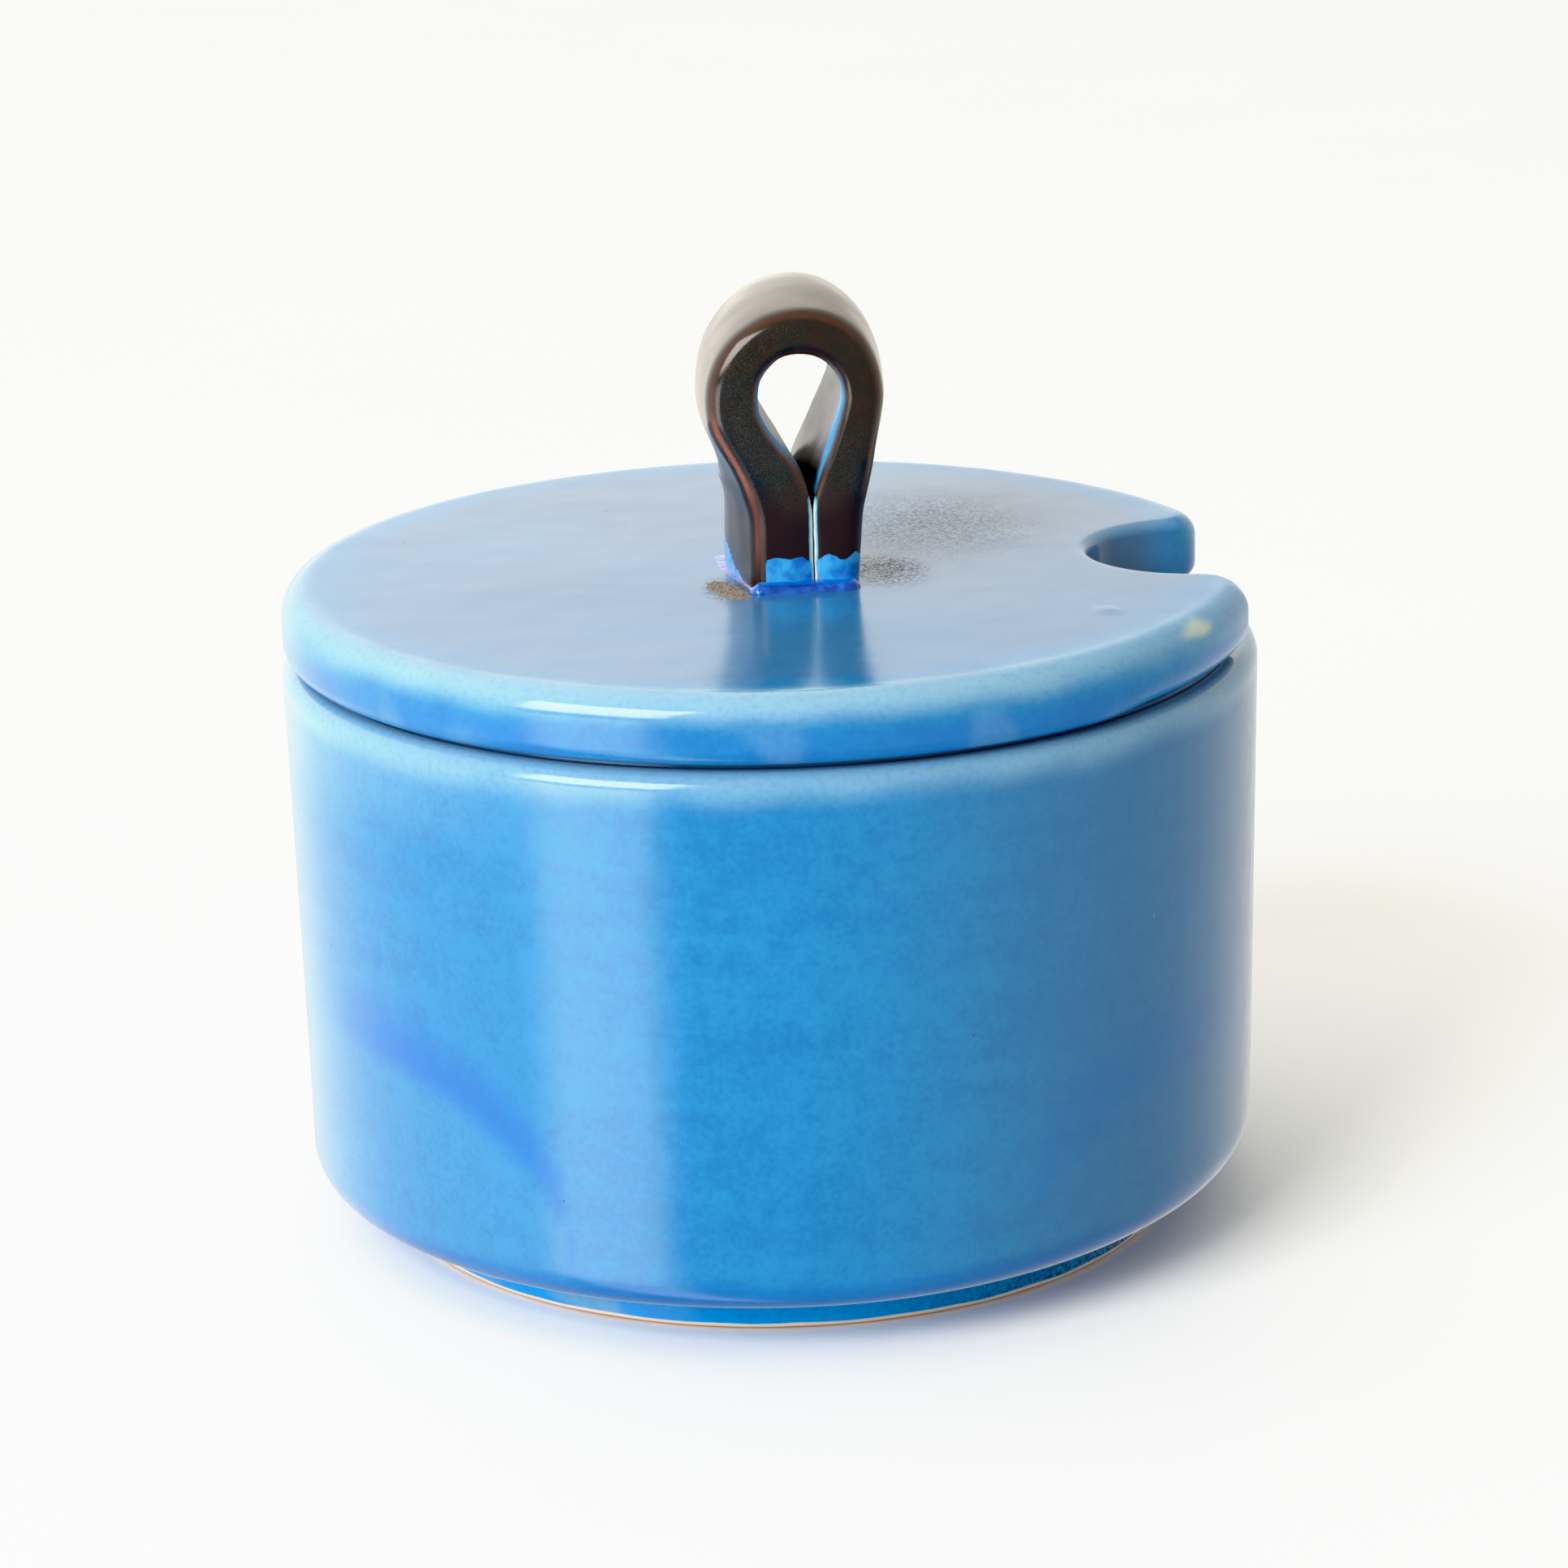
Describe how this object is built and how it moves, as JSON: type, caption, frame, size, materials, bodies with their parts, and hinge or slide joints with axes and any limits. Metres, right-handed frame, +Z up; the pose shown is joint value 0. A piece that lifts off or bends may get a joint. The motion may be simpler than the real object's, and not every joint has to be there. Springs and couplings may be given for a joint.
{
  "type": "lidded yarn bowl",
  "caption": "Straight-sided glazed stoneware yarn bowl with a slab lid that lifts off and turns, a strap-loop handle, and a rounded notch in the lid's edge that feeds the yarn out.",
  "frame": {"origin": "centre of the foot ring's standing face, on the table", "axes": "+Z up along the bowl's axis; +X towards the yarn notch in the lid; the handle's loop opens along Y"},
  "size_m": [0.13, 0.13, 0.1255],
  "materials": {
    "blue_glaze_body": "satin-gloss mottled cerulean blue glaze on stoneware",
    "blue_glaze_foot": "satin blue glaze, wiped off to bare buff clay at the standing edge",
    "bare_clay": "unglazed buff stoneware, matte",
    "blue_glaze_lid": "satin blue glaze, paler where it breaks over the edges",
    "blue_glaze_ring": "thin satin blue glaze",
    "dark_brown_glaze": "gloss brown-black iron glaze that breaks copper red on its edges, blue at the base",
    "cobalt_glaze": "thick pooled cobalt glaze, high gloss"
  },
  "bodies": {
    "bowl": {"bowl": "blue_glaze_body", "foot_ring": "blue_glaze_foot"},
    "lid_seat": {"lid_seat": "bare_clay"},
    "lid": {"lid": "blue_glaze_lid", "lid_locating_ring": "blue_glaze_ring", "handle_loop": "dark_brown_glaze", "handle_base_coil": "cobalt_glaze"}
  },
  "joints": [
    {"name": "lid_turn", "type": "hinge", "parent": "bowl", "child": "lid_seat", "pos_m": [0, 0, 0.0776], "axis": [0, 0, 1], "continuous": true},
    {"name": "lid_lift", "type": "slide", "parent": "lid_seat", "child": "lid", "axis": [0, 0, 1], "range_m": [0, 0.1]}
  ]
}
